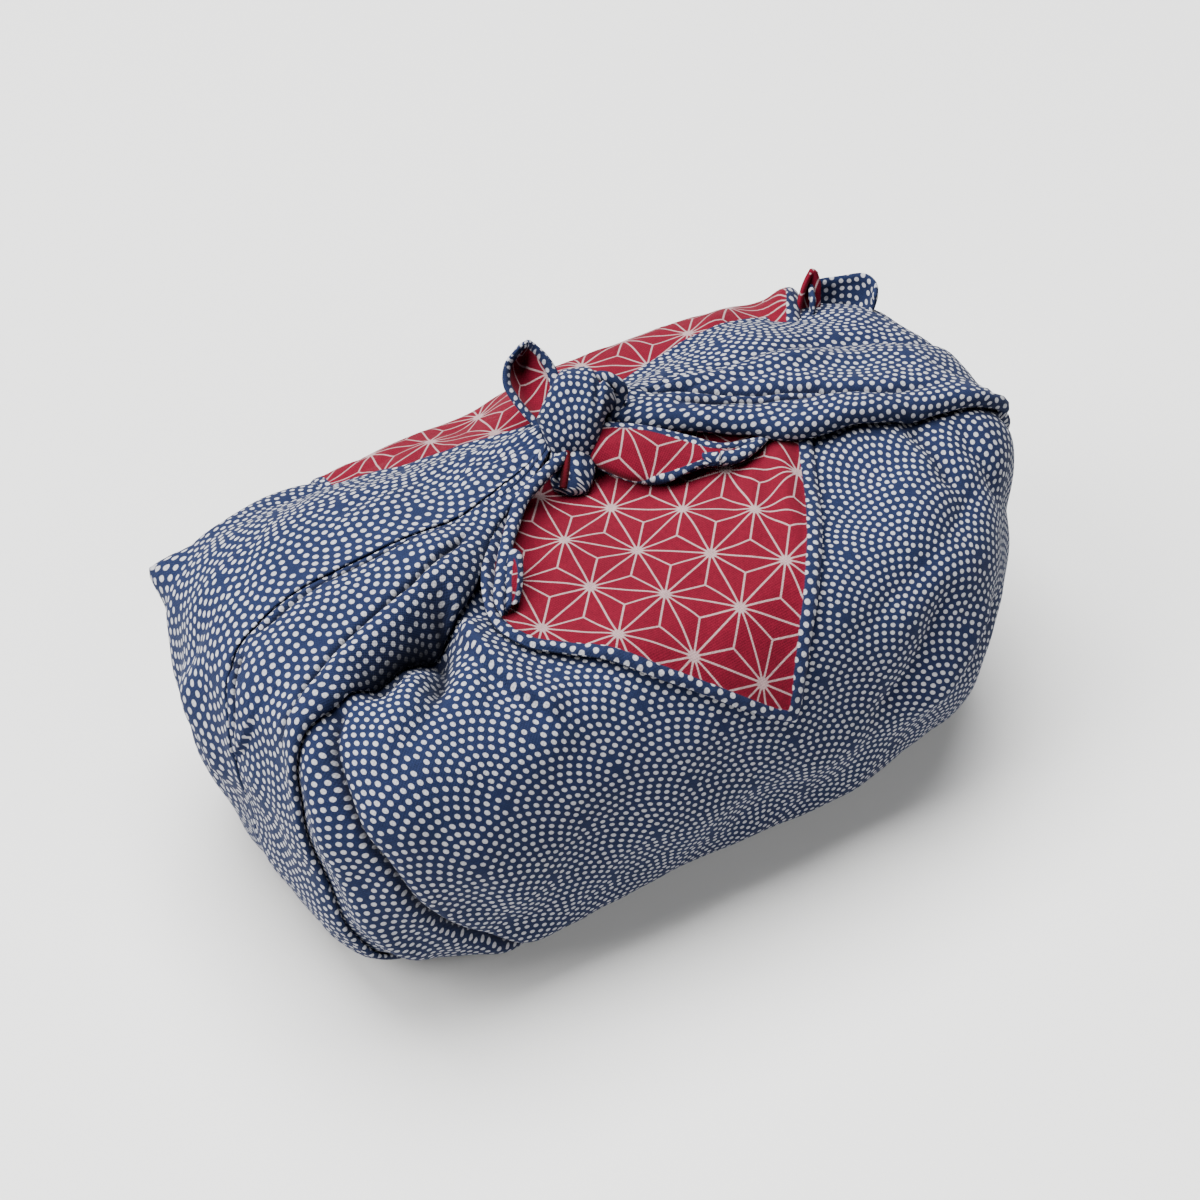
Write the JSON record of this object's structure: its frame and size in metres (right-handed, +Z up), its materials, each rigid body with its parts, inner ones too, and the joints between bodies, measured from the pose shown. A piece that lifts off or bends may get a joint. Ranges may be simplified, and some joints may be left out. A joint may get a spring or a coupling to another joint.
{
  "type": "furoshiki wrap",
  "caption": "Square reversible wrapping cloth drawn round a slim box and tied on top, with a corner folded back to show its patterned lining.",
  "frame": {"origin": "on the resting surface, under the middle of the bundle's outline", "axes": "+X along the box's long side, towards the end with the ear, +Y to the back, where the corner is folded back, +Z up"},
  "size_m": [0.2183, 0.1364, 0.1054],
  "materials": {
    "outer_cotton": "matt printed cotton, navy with rows of small pale dots set in overlapping fans, turned over the edge as a stitched hem",
    "lining_cotton": "matt printed cotton, red with a pale line lattice of six-pointed hemp-leaf stars"
  },
  "bodies": {
    "root": {"outer_cloth": "outer_cotton", "lining_flap": "lining_cotton", "lining_tail_left": "lining_cotton", "lining_tail_right": "lining_cotton"}
  },
  "joints": []
}
